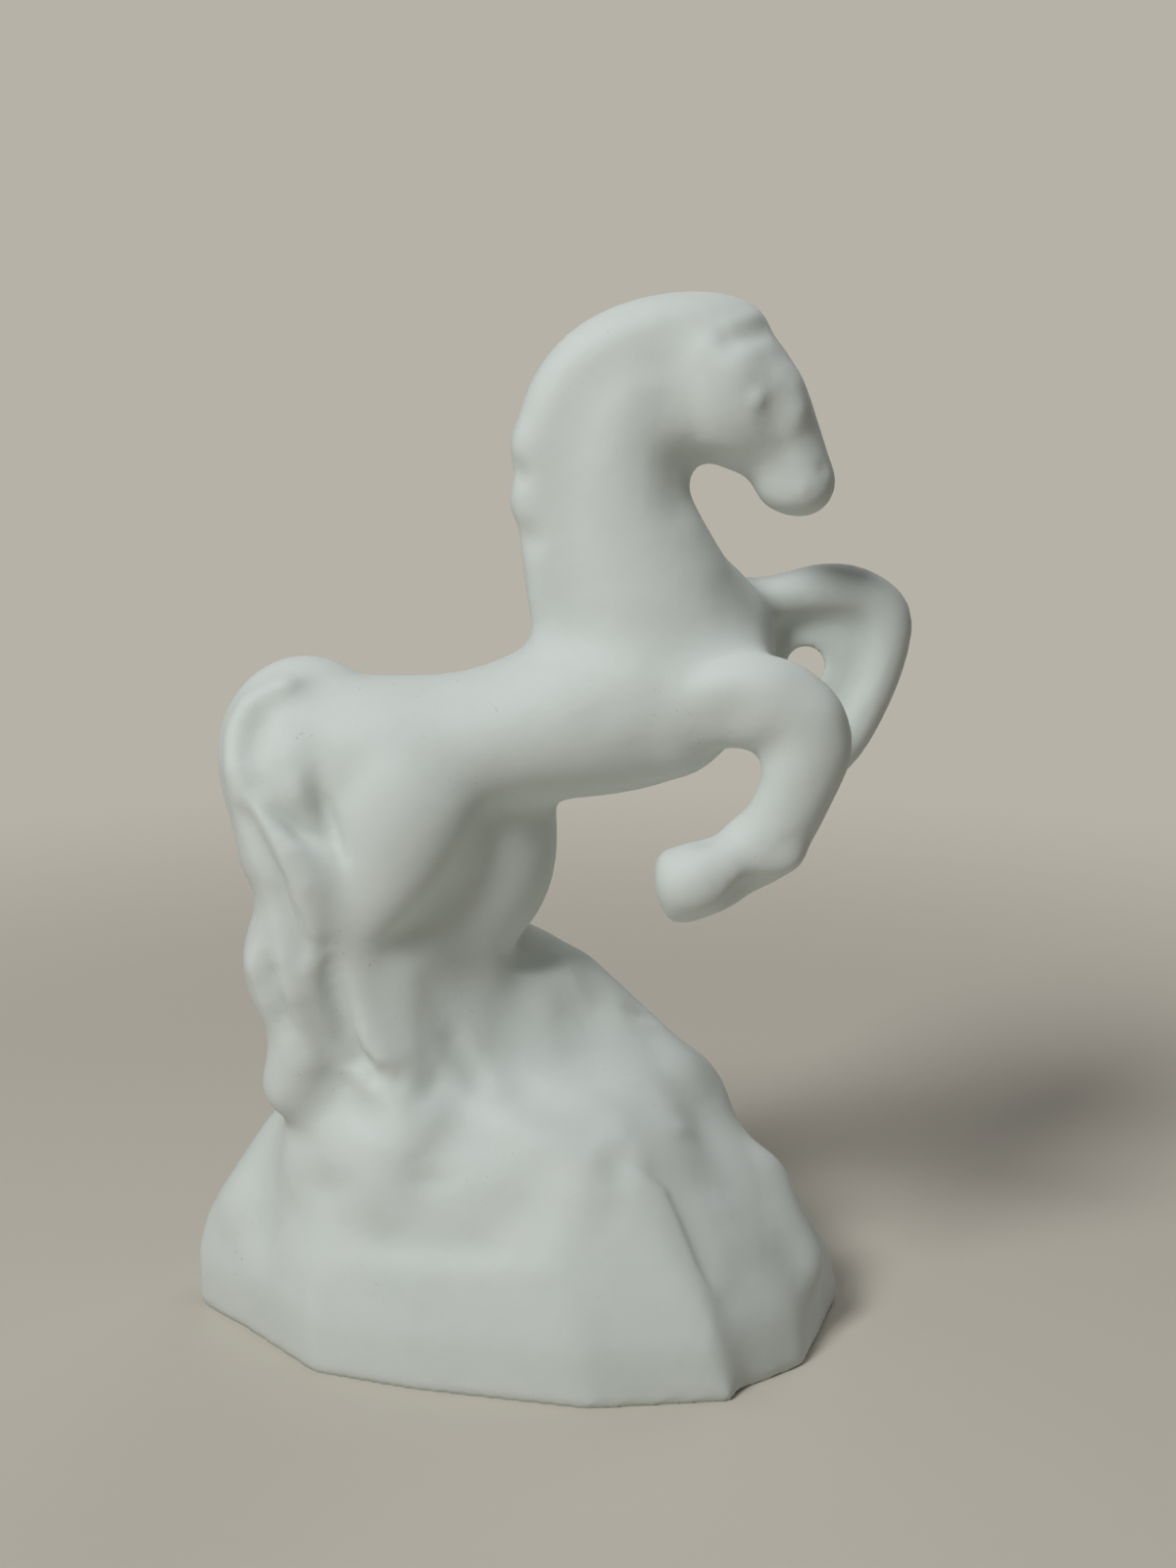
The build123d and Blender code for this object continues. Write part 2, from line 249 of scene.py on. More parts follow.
ROCK_STROKES = [
    # Ledge along the front, soft, with a hollow above it
    Stroke([(350, 1286), (420, 1291), (520, 1296), (590, 1302)], 3.0, 0.2),
    Stroke([(360, 1268), (430, 1272), (530, 1278)], 4.5, -0.35),
    # Crisp ridge on the right, the hollow past it and the lobe beside it
    Stroke([(640, 1182), (680, 1212), (695, 1245), (714, 1292), (732, 1325)], 5.0, -0.5, False, True),
    Stroke([(706, 1100), (714, 1145), (726, 1190), (736, 1240)], 7.0, -0.55),
    Stroke([(690, 1135), (702, 1170)], 5.0, 0.7),
    Stroke([(752, 1180)], 7.0, 0.6),
    Stroke([(730, 1304), (760, 1300), (790, 1294), (832, 1284)], 5.0, -0.25),
    # Crest under the hooves, which runs to the crisp ridge
    Stroke([(415, 1150), (440, 1132), (470, 1118)], 4.0, 0.7),
    Stroke([(473, 1112), (518, 1140), (555, 1160), (607, 1172), (640, 1184)], 4.5, 0.5),
    Stroke([(500, 1100), (548, 1128), (600, 1148), (640, 1160)], 5.0, -0.5),
    # Lobes and dents of the slope
    Stroke([(438, 1186), (440, 1226)], 5.0, -0.7),
    Stroke([(547, 1229)], 6.5, -0.5),
    Stroke([(629, 1190)], 4.0, -0.4),
    Stroke([(268, 1259)], 6.0, -0.7),
    Stroke([(330, 1180), (338, 1240)], 7.0, -0.5),
    Stroke([(480, 1212)], 7.0, 0.7),
    Stroke([(380, 1210)], 7.0, 0.7),
    Stroke([(590, 1215)], 6.0, 0.5),
    Stroke([(300, 1195)], 6.0, 0.6),
    Stroke([(240, 1225)], 6.0, 0.6),
    # Crag
    Stroke([(560, 1005), (600, 985)], 6.0, 0.8),
    Stroke([(652, 1022), (662, 1050)], 4.5, -1.2),
    Stroke([(700, 1085)], 6.0, 0.8),
]
BACK_STROKES = [
    # Locks of the tail and the groove before it
    BackStroke([(-37, 74), (-35, 66), (-32, 58), (-31, 50), (-29, 44)], 1.8, -0.6),
    BackStroke([(-33, 50), (-32, 43), (-29, 38)], 1.8, -0.5),
    BackStroke([(-27, 77), (-26, 72), (-24, 66), (-22, 60)], 2.2, -0.5),
    # Thigh and gaskin
    BackStroke([(-9, 66)], 7.0, 0.6),
    BackStroke([(-13, 62), (-16, 54)], 4.0, -0.4),
    # Shoulder
    BackStroke([(4, 82), (8, 74)], 6.0, -0.4),
    # Lobes, dents and ledge of the rock
    BackStroke([(-20, 22)], 8.0, 0.9),
    BackStroke([(0, 25)], 8.0, 0.8),
    BackStroke([(18, 20)], 8.0, 0.9),
    BackStroke([(-10, 25), (-11, 15)], 6.0, -0.9),
    BackStroke([(9, 24), (10, 14)], 6.0, -0.9),
    BackStroke([(27, 17)], 6.0, -0.8),
    BackStroke([(-30, 16)], 6.0, -0.7),
    BackStroke([(-30, 12), (-5, 13), (20, 12)], 2.4, 0.35),
    BackStroke([(4, 43)], 6.0, 0.8),
    BackStroke([(12, 37), (13, 31)], 5.0, -0.9),
]
SPONGED = [
    # Fore hoof, muzzle and tip of the tail
    Sponge((690, 900), -10.5, 8.0, 60),
    Sponge((820, 505), 0.0, 9.0, 30),
    Sponge((285, 1095), -4.0, 9.0, 50),
    # Near hind leg, its joint with the tail and the clay between the thighs
    Sponge((385, 1095), -8.0, 9.0, 20),
    Sponge((425, 1035), -8.0, 9.0, 40),
    Sponge((345, 900), -12.0, 7.0, 30),
    Sponge((318, 960), -9.0, 14.0, 8),
    Sponge((318, 800), -9.0, 12.0, 8),
    Sponge((440, 930), -4.0, 16.0, 40),
    Sponge((500, 900), -2.0, 16.0, 40),
    # Right flank of the rock
    Sponge((815, 1335), -11.0, 7.0, 40),
    Sponge((790, 1262), -8.0, 10.0, 60),
    Sponge((765, 1375), -20.5, 6.0, 60),
    # Rock before the far hind leg
    Sponge((470, 1045), -4.0, 8.0, 40),
]
# The hole through the web that ties the far foreleg, by its pixel, its depth and its radius
WEB_HOLE = Roll([(822, 679)], [10.0], [2.4])
WEB_HOLE_LENGTH = 10.0
# The vent in the belly: its place and radius in millimetres
VENT_PLACE = (6.9, -0.5, 69.0)
VENT_RADIUS = 1.25
VENT_LENGTH = 10.0


class FIGURINE_PG_clay(bpy.types.PropertyGroup):
    """Sizes of the wet clay work"""

    voxel: bpy.props.FloatProperty(name="Grain", description="Edge of one clay facet",
                                   default=0.5 * MM, unit="LENGTH", precision=5)
    wipe: bpy.props.FloatProperty(name="Joint wipe", description="Radius to which joints are wiped",
                                  default=1.6 * MM, unit="LENGTH", precision=5)
    wall: bpy.props.FloatProperty(name="Wall", description="Thickness of the cast skin of each piece",
                                  default=0.8 * MM, unit="LENGTH", precision=5)
    sponge: bpy.props.IntProperty(name="Sponge passes", description="Smoothing after the joints are wiped",
                                  default=10, min=0)


class FIGURINE_PG_finish(bpy.types.PropertyGroup):
    """Colours of the fired porcelain and of the stage"""

    bisque: bpy.props.StringProperty(name="Bisque", description="Fired clay, sRGB hex",
                                     default="DDE4E1")
    # Painted shade in the hollows, a darker, greener tone; the clouds of the body use this colour too
    painted_shade_and_cloud: bpy.props.StringProperty(name="Recess", description="Clay in the hollows, sRGB hex",
                                     default="D0D9D4")
    dust: bpy.props.StringProperty(name="Dust", description="Grey specks in the pores, sRGB hex",
                                   default="9AA09C")
    floor: bpy.props.StringProperty(name="Floor", description="Plain pale floor, sRGB hex",
                                    default="CFCABE")
    backdrop: bpy.props.StringProperty(name="Backdrop", description="Tone far off, sRGB hex",
                                       default="B6B2A7")
    fill: bpy.props.StringProperty(name="Fill", description="Tone of the weak light all round, sRGB hex",
                                   default="FFF8EE")


def hex_linear(value):
    """A colour written as sRGB hex, as linear RGBA."""
    channels = [int(value[i:i + 2], 16) / 255 for i in (0, 2, 4)]
    return [c / 12.92 if c <= 0.04045 else ((c + 0.055) / 1.055) ** 2.4 for c in channels] + [1.0]


def deselect_all():
    """Leaves nothing selected and Blender in object mode."""
    if bpy.context.object and bpy.context.object.mode != "OBJECT":
        bpy.ops.object.mode_set(mode="OBJECT")
    bpy.ops.object.select_all(action="DESELECT")


def make_active(piece):
    """Selects one object alone."""
    deselect_all()
    piece.select_set(True)
    bpy.context.view_layer.objects.active = piece


def apply_modifier(piece, kind, **settings):
    """Adds a modifier with its settings and applies it."""
    make_active(piece)
    bpy.ops.object.modifier_add(type=kind)
    modifier = piece.modifiers[-1]
    for key, value in settings.items():
        setattr(modifier, key, value)
    bpy.ops.object.modifier_apply(modifier=modifier.name)


def remesh(piece, voxel):
    """Makes one even skin of all that the object holds."""
    make_active(piece)
    piece.data.remesh_voxel_size = voxel
    piece.data.remesh_voxel_adaptivity = 0.0
    bpy.ops.object.voxel_remesh()


def clay_copy(node):
    """A merged copy of a casting's mesh."""
    copy = bpy.data.objects.new("clay_" + node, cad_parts[node].data.copy())
    bpy.context.scene.collection.objects.link(copy)
    make_active(copy)
    bpy.ops.mesh.customdata_custom_splitnormals_clear()
    bpy.ops.object.mode_set(mode="EDIT")
    bpy.ops.mesh.select_all(action="SELECT")
    bpy.ops.mesh.remove_doubles(threshold=1e-6)
    bpy.ops.object.mode_set(mode="OBJECT")
    copy.data.materials.clear()
    return copy


def add_lump(lump):
    """A round lump of clay at its place."""
    deselect_all()
    bpy.ops.mesh.primitive_uv_sphere_add(
        segments=32, ring_count=20, radius=MM, location=Vector(lump.place) * MM, scale=lump.half,
        rotation=(0.0, math.radians(lump.turn), 0.0))
    bpy.ops.object.transform_apply(location=True, rotation=True, scale=True)
    return bpy.context.object


def pixel_place(pixel, depth):
    """The place in millimetres that a pixel shows at a depth."""
    origin, way = photo_ray(pixel)
    origin = origin / MM
    return origin + way * ((depth - origin.y) / way.y)


def roll_lumps(roll):
    """A row of round lumps, close together, along a roll."""
    places = [pixel_place(pixel, depth) for pixel, depth in zip(roll.route, roll.depth)]
    lumps = []
    for index in range(len(places) - 1):
        steps = math.ceil((places[index + 1] - places[index]).length)
        for step in range(steps + 1):
            share = step / steps
            radius = roll.radius[index] + (roll.radius[index + 1] - roll.radius[index]) * share
            place = places[index].lerp(places[index + 1], share)
            lumps.append(add_lump(Lump(place, (radius, radius, radius))))
    return lumps


def mesh_points(piece):
    """The vertices of a mesh as an array."""
    points = np.empty(len(piece.data.vertices) * 3)
    piece.data.vertices.foreach_get("co", points)
    return points.reshape(-1, 3)


def mesh_normals(piece):
    """The vertex normals of a mesh as an array."""
    normals = np.empty(len(piece.data.vertices) * 3)
    piece.data.vertex_normals.foreach_get("vector", normals)
    return normals.reshape(-1, 3)


def put_points(piece, points):
    """Writes the vertices back."""
    piece.data.vertices.foreach_set("co", points.ravel())
    piece.data.update()


def mesh_edges(piece):
    """The two vertices of each edge as an array."""
    edges = np.empty(len(piece.data.edges) * 2, dtype=np.int64)
    piece.data.edges.foreach_get("vertices", edges)
    return edges.reshape(-1, 2)


def eased(points, edges, passes, share=1.0):
    """The points after each has moved towards its neighbours that many times, by its own share."""
    count = np.bincount(edges.ravel(), minlength=len(points))[:, None]
    points = points.copy()
    for _ in range(passes):
        total = np.zeros_like(points)
        for axis in range(points.shape[1]):
            total[:, axis] = np.bincount(edges[:, 0], points[edges[:, 1], axis], len(points))
            total[:, axis] += np.bincount(edges[:, 1], points[edges[:, 0], axis], len(points))
        points += 0.5 * share * (total / count - points)
    return points


def photo_ray(pixel):
    """Where the camera stands, and the way it looks through a pixel."""
    across = (pixel[0] - PHOTO_WIDTH / 2) / CAMERA_LENS_PIXELS
    up = (PHOTO_HEIGHT / 2 - pixel[1]) / CAMERA_LENS_PIXELS
    way = Vector((across, up, -1.0))
    way.rotate(CAMERA_TURN)
    return CAMERA_PLACE * MM, way.normalized()


def route_points(tree, stroke):
    """The places on the clay that a stroke goes over, with the normals there."""
    route = [Vector(point) for point in stroke.route]
    step = PIXEL_STEP if isinstance(stroke, Stroke) else BACK_STEP
    found = []
    for start, end in zip(route, route[1:] or route):
        pieces = max(1, math.ceil((end - start).length / step))
        for index in range(pieces + 1):
            point = start.lerp(end, index / pieces)
            if isinstance(stroke, Stroke):
                origin, way = photo_ray(point)
            else:
                origin, way = Vector((point[0] * MM, 1.0, point[1] * MM)), Vector((0.0, -1.0, 0.0))
            place, normal, _, _ = tree.ray_cast(origin, way)
            if place is not None:
                found.append((place, normal))
    return found


def smooth_step(share):
    """Eases a share in and out between 0 and 1."""
    share = np.clip(share, 0.0, 1.0)
    return share * share * (3 - 2 * share)


def end_fade(path):
    """How strongly a stroke presses at each point of its path: it starts and ends lightly."""
    gone = np.concatenate([[0.0], np.cumsum(np.linalg.norm(np.diff(path, axis=0), axis=1))])
    if gone[-1] < FADE_LENGTH * MM:
        return np.ones(len(path))
    return 0.15 + 0.85 * smooth_step(np.minimum(gone, gone[-1] - gone) / (FADE_LENGTH * MM))


def evened(facing):
    """The ways that the clay faces along a path, evened out from point to point."""
    for _ in range(6):
        before = np.concatenate([facing[:1], facing[:-1]])
        after = np.concatenate([facing[1:], facing[-1:]])
        facing = (before + 2 * facing + after) / 4
    return facing / np.linalg.norm(facing, axis=1)[:, None]


def carve(clay, strokes):
    """Raises or presses the clay along all the strokes."""
    points = mesh_points(clay)
    clay_normals = mesh_normals(clay)
    tree = BVHTree.FromPolygons(points.tolist(), [tuple(face.vertices) for face in clay.data.polygons])
    raised = np.zeros_like(points)
    for stroke in strokes:
        found = route_points(tree, stroke)
        if not found:
            raise RuntimeError("this stroke misses the clay: %s" % (stroke,))
        sides = [(1.0, 0.0)]
        if stroke.paired:
            sides.append((-1.0, 2 * MIDDLE_Y))
        for flip, shift in sides:
            path = np.array([(place.x, place.y * flip + shift, place.z) for place, _ in found])
            facing = np.array([(normal.x, normal.y * flip, normal.z) for _, normal in found])
            reach = stroke.width * MM
            inside = (points > path.min(0) - reach) & (points < path.max(0) + reach)
            near = np.all(inside, axis=1).nonzero()[0]
            aside = points[near, None, :] - path[None, :, :]
            gaps = np.linalg.norm(aside, axis=2)
            closest = gaps.argmin(1)
            weight = smooth_step(1 - gaps.min(1) / reach) * end_fade(path)[closest]
            if stroke.edge:
                along = np.gradient(path, axis=0)
                leftward = np.cross(facing, along) * flip
                leftward /= np.linalg.norm(leftward, axis=1)[:, None] + 1e-12
                left = np.sum(aside[np.arange(len(near)), closest] * leftward[closest], axis=1)
                weight *= np.clip(0.5 + left / (EDGE_SOFTNESS * MM), 0, 1)
            same_side = np.sum(clay_normals[near] * facing[closest], axis=1) > 0.1
            push = evened(facing)[closest] + 0.5 * clay_normals[near]
            push /= np.linalg.norm(push, axis=1)[:, None]
            raised[near] += push * (weight * same_side * stroke.height * MM)[:, None]
    put_points(clay, points + raised)


class FIGURINE_OT_lute(bpy.types.Operator):
    """Lute the castings together and wipe the joints"""

    bl_idname = "figurine.lute"
    bl_label = "Lute castings"

    def execute(self, context):
        settings = context.scene.figurine_clay
        lumps = [clay_copy(node) for node in CASTINGS] + [add_lump(lump) for lump in FILLING]
        for roll in ROLLS:
            lumps += roll_lumps(roll)
        close_hollow(lumps[0])
        deselect_all()
        for lump in lumps:
            lump.select_set(True)
        context.view_layer.objects.active = lumps[0]
        bpy.ops.object.join()
        clay = context.object
        clay.name = "clay"
        clay.data.name = "clay"
        remesh(clay, settings.voxel)
        for push in (settings.wipe, -settings.wipe):
            put_points(clay, eased(mesh_points(clay), mesh_edges(clay), 3))
            apply_modifier(clay, "DISPLACE", strength=push, mid_level=0.0)
            remesh(clay, settings.voxel)
            keep_outer_skin(clay)
        put_points(clay, eased(mesh_points(clay), mesh_edges(clay), settings.sponge))
        return {"FINISHED"}


def keep_outer_skin(clay):
    """Deletes every shell but the largest, which is the outside of the figure."""
    made = bmesh.new()
    made.from_mesh(clay.data)
    waiting = set(made.verts)
    shells = []
    while waiting:
        shell, edge_of_shell = set(), [waiting.pop()]
        while edge_of_shell:
            vertex = edge_of_shell.pop()
            shell.add(vertex)
            for edge in vertex.link_edges:
                other = edge.other_vert(vertex)
                if other in waiting:
                    waiting.discard(other)
                    edge_of_shell.append(other)
        shells.append(shell)
    shells.sort(key=len)
    bmesh.ops.delete(made, geom=[vertex for shell in shells[:-1] for vertex in shell], context="VERTS")
    made.to_mesh(clay.data)
    made.free()


def nearest_casting(points):
    """The casting whose surface is nearest to each point, by its place in the list."""
    best = np.full(len(points), 1.0)
    label = np.zeros(len(points), dtype=np.int64)
    for index, node in enumerate(CASTINGS):
        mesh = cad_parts[node].data
        corners = [vertex.co for vertex in mesh.vertices]
        tree = BVHTree.FromPolygons(corners, [tuple(face.vertices) for face in mesh.polygons])
        low, high = (np.array(corner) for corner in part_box(node))
        reach = CASTING_REACH * MM
        for spot in np.all((points > low - reach) & (points < high + reach), axis=1).nonzero()[0]:
            distance = tree.find_nearest(points[spot])[3]
            if distance < best[spot]:
                best[spot] = distance
                label[spot] = index
    return label


def soften_rock(clay, label, passes):
    """Rounds the rock's edges: little on the cut face near the foot, none on its rim, and much above."""
    points = mesh_points(clay)
    edges = mesh_edges(clay)
    height = points[:, 2] / MM
    share = np.interp(height, ROCK_HEIGHTS, ROCK_SOFTNESS)
    share *= label == CASTINGS.index("rock_base")
    share = eased(share[:, None], edges, 12)
    put_points(clay, eased(points, edges, passes, share))


def fill_joints(clay, share, passes):
    """Fills the hollows along the joints with slip and leaves what stands proud."""
    points = mesh_points(clay)
    edges = mesh_edges(clay)
    outward = mesh_normals(clay)
    for _ in range(passes):
        move = eased(points, edges, 1) - points
        rise = np.sum(move * outward, axis=1)[:, None]
        points = points + np.where(rise > 0, move, 0.15 * move) * share
    put_points(clay, points)


def sponge_ends(clay):
    """Rounds off each place of the sponge's list."""
    edges = mesh_edges(clay)
    for spot in SPONGED:
        points = mesh_points(clay)
        centre = np.array(pixel_place(spot.pixel, spot.depth)) * MM
        gap = np.linalg.norm(points - centre, axis=1) / (spot.radius * MM)
        share = np.clip(2.0 * (1.0 - gap), 0.0, 1.0)[:, None]
        put_points(clay, eased(points, edges, spot.passes, share))


def bore(clay, place, way, radius, length):
    """Cuts a round hole through the clay along a way; sizes in millimetres."""
    deselect_all()
    bpy.ops.mesh.primitive_cylinder_add(
        vertices=48, radius=radius * MM, depth=length * MM, location=Vector(place) * MM,
        rotation=way.to_track_quat("Z", "Y").to_euler())
    cut_away(clay, bpy.context.object)


class FIGURINE_OT_carve(bpy.types.Operator):
    """Carve the head, trunk, haunches and rock"""

    bl_idname = "figurine.carve"
    bl_label = "Carve"

    def execute(self, context):
        clay = bpy.data.objects["clay"]
        label = nearest_casting(mesh_points(clay))
        soften_rock(clay, label, ROCK_PASSES)
        smooth_castings = [CASTINGS.index(node) for node in ("torso", "neck", "mane", "rock_base")]
        share = np.isin(label, smooth_castings).astype(float)
        share *= np.clip((mesh_points(clay)[:, 2] / MM - JOINT_LOW) / JOINT_RISE, 0.0, 1.0)
        share = eased(share[:, None], mesh_edges(clay), 20)
        fill_joints(clay, share, JOINT_PASSES)
        sponge_ends(clay)
        carve(clay, HEAD_STROKES + TRUNK_STROKES + HAUNCH_STROKES + ROCK_STROKES + BACK_STROKES)
        pixel, depth, radius = WEB_HOLE.route[0], WEB_HOLE.depth[0], WEB_HOLE.radius[0]
        bore(clay, pixel_place(pixel, depth), photo_ray(pixel)[1], radius, WEB_HOLE_LENGTH)
        bore(clay, VENT_PLACE, Vector((0.0, 0.0, 1.0)), VENT_RADIUS, VENT_LENGTH)
        put_points(clay, eased(mesh_points(clay), mesh_edges(clay), 3))
        flatten_foot(clay)
        cut_away(clay, hollow_core())
        return {"FINISHED"}


def mouth_ring(made):
    """The ring of vertices round the mouth of the hollow under the rock, in order."""
    low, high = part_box("rock_base")
    middle = (Vector(low) + Vector(high)) / 2
    mouth = []
    for vertex in made.verts:
        outward = (vertex.co - middle).xy.normalized()
        inward = any(face.normal.xy.dot(outward) < -0.1 for face in vertex.link_faces)
        if vertex.co.z < low[2] + 0.01 * MM and inward:
            mouth.append(vertex)
    mouth.sort(key=lambda v: math.atan2(v.co.y - middle.y, v.co.x - middle.x))
    return mouth


def close_hollow(rock):
    """Closes the mouth of the hollow under the rock, so that the clay there is solid."""
    made = bmesh.new()
    made.from_mesh(rock.data)
    made.faces.new(mouth_ring(made))
    made.to_mesh(rock.data)
    made.free()


def hollow_core():
    """A smooth solid of the hollow under the rock, which reaches a little below its mouth."""
    core = clay_copy("rock_base")
    made = bmesh.new()
    made.from_mesh(core.data)
    inner = set()
    waiting = [face for vertex in mouth_ring(made) for face in vertex.link_faces if face.normal.z > -0.9]
    while waiting:
        face = waiting.pop()
        if face in inner:
            continue
        inner.add(face)
        waiting += [other for edge in face.edges for other in edge.link_faces
                    if other.normal.z > -0.9 or other.calc_center_median().z > MM]
    bmesh.ops.delete(made, geom=[face for face in made.faces if face not in inner], context="FACES")
    mouth = [edge for edge in made.edges if edge.is_boundary and edge.verts[0].co.z < MM]
    lower = bmesh.ops.extrude_edge_only(made, edges=mouth)["geom"]
    lower = [item for item in lower if isinstance(item, bmesh.types.BMVert)]
    bmesh.ops.translate(made, vec=(0.0, 0.0, -2 * MM), verts=lower)
    bmesh.ops.holes_fill(made, edges=[edge for edge in made.edges if edge.is_boundary])
    bmesh.ops.recalc_face_normals(made, faces=made.faces)
    made.to_mesh(core.data)
    made.free()
    remesh(core, 1.0 * MM)
    put_points(core, eased(mesh_points(core), mesh_edges(core), 4))
    return core


def cut_away(clay, cutter):
    """Cuts one solid out of the clay and throws it away."""
    apply_modifier(clay, "BOOLEAN", operation="DIFFERENCE", object=cutter, solver="EXACT")
    bpy.data.objects.remove(cutter)


def flatten_foot(clay):
    """Rubs the underside flat, so that the figure stands on one plane."""
    points = mesh_points(clay)
    under = (mesh_normals(clay)[:, 2] < -0.7) & (points[:, 2] < FOOT_BAND * MM)
    points[under, 2] = 0.0
    points[:, 2] = np.maximum(points[:, 2], 0.0)
    put_points(clay, points)


def casting_labels(clay):
    """The casting that each face belongs to, with smooth borders and no islands."""
    edges = mesh_edges(clay)
    label = nearest_casting(mesh_points(clay))
    share = np.eye(len(CASTINGS))[label]
    share = eased(share, edges, 16)
    made = bmesh.new()
    made.from_mesh(clay.data)
    made.faces.ensure_lookup_table()
    face_label = np.array([share[[v.index for v in face.verts]].sum(0).argmax() for face in made.faces])
    for index in range(len(CASTINGS)):
        waiting = set(np.nonzero(face_label == index)[0].tolist())
        islands = []
        while waiting:
            island, border = set(), [waiting.pop()]
            while border:
                spot = border.pop()
                island.add(spot)
                for edge in made.faces[spot].edges:
                    for other in edge.link_faces:
                        if other.index in waiting:
                            waiting.discard(other.index)
                            border.append(other.index)
            islands.append(island)
        islands.sort(key=len)
        for island in islands[:-1]:
            around = [face_label[other.index] for spot in island for edge in made.faces[spot].edges
                      for other in edge.link_faces if other.index not in island]
            face_label[list(island)] = np.bincount(around).argmax()
    made.free()
    return face_label


def border_rings(faces):
    """The closed rings of vertices along the border of some faces, in the order of the faces' edges."""
    sides = set()
    for face in faces:
        for start, end in zip(face, face[1:] + face[:1]):
            if (end, start) in sides:
                sides.discard((end, start))
            else:
                sides.add((start, end))
    after = {}
    for start, end in sorted(sides):
        after.setdefault(start, []).append(end)
    rings = []
    while after:
        ring = [min(after)]
        while True:
            end = after[ring[-1]].pop()
            if not after[ring[-1]]:
                del after[ring[-1]]
            if end == ring[0]:
                break
            ring.append(end)
        rings.append(ring)
    return rings


def part_casting(clay, node, faces, wall):
    """A closed mesh of one casting: its skin, a thin wall inside it, and rims at its joints."""
    points = mesh_points(clay)
    outward = mesh_normals(clay)
    # Share of painted shade in the hollows at each vertex
    painted_shade_and_cloud = np.empty(len(points), dtype=np.float32)
    clay.data.attributes["painted_shade_and_cloud"].data.foreach_get("value", painted_shade_and_cloud)
    used = sorted({vertex for face in faces for vertex in face})
    place = {vertex: index for index, vertex in enumerate(used)}
    skin = [[place[vertex] for vertex in face] for face in faces]
    corners, hidden = [points[used]], []
    behind = len(used)
    if node == "rock_base":
        # The rock has its own hollow, so its joints are only closed over
        for ring in border_rings(skin):
            inner = points[used][ring] - outward[used][ring] * wall
            corners += [inner, inner.mean(0)[None, :]]
            middle = behind + len(ring)
            for index in range(len(ring)):
                following = (index + 1) % len(ring)
                hidden.append([ring[following], ring[index], behind + index, behind + following])
                hidden.append([behind + following, behind + index, middle])
            behind = middle + 1
    else:
        inward = eased(outward, mesh_edges(clay), 8)[used]
        inward /= np.linalg.norm(inward, axis=1)[:, None]
        corners.append(points[used] - inward * wall)
        hidden += [[vertex + behind for vertex in reversed(face)] for face in skin]
        for ring in border_rings(skin):
            for index, start in enumerate(ring):
                end = ring[(index + 1) % len(ring)]
                hidden.append([end, start, start + behind, end + behind])
    corners = np.concatenate(corners)
    mesh = bpy.data.meshes.new(node + "_bisque")
    mesh.from_pydata(corners.tolist(), [], skin + hidden)
    mesh.polygons.foreach_set("use_smooth", [True] * len(mesh.polygons))
    mesh.update()
    split = [tuple(outward[vertex]) for face in faces for vertex in face]
    for face in mesh.polygons[len(skin):]:
        split += [tuple(face.normal)] * len(face.vertices)
    mesh.normals_split_custom_set(split)
    # The painted shade goes on the outer skin only
    painted_shade_values = np.zeros(len(corners), dtype=np.float32)
    painted_shade_values[:len(used)] = painted_shade_and_cloud[used]
    mesh.attributes.new("painted_shade_and_cloud", "FLOAT", "POINT").data.foreach_set("value", painted_shade_values)
    piece = bpy.data.objects.new(node + "_bisque", mesh)
    bpy.context.scene.collection.objects.link(piece)
    return piece


def measure_painted_shade(clay):
    """Keeps how far each place lies in a hollow, from 0 on open faces to 1 in a groove, as the share of
    painted shade there.
    """
    points = mesh_points(clay)
    edges = mesh_edges(clay)
    depth = np.sum((eased(points, edges, 40) - points) * mesh_normals(clay), axis=1)
    depth = eased(depth[:, None], edges, 4)[:, 0]
    painted_shade_and_cloud = np.clip(depth / (GROOVE_DEPTH * MM), 0.0, 1.0).astype(np.float32)
    clay.data.attributes.new("painted_shade_and_cloud", "FLOAT", "POINT").data.foreach_set("value", painted_shade_and_cloud)


def add_node(tree, kind, settings=None, values=None, links=None):
    """Adds a node, sets its settings and socket values, and links its sockets to others."""
    node = tree.nodes.new(kind)
    for key, value in (settings or {}).items():
        setattr(node, key, value)
    for key, value in (values or {}).items():
        node.inputs[key].default_value = value
    for key, socket in (links or {}).items():
        tree.links.new(socket, node.inputs[key])
    return node


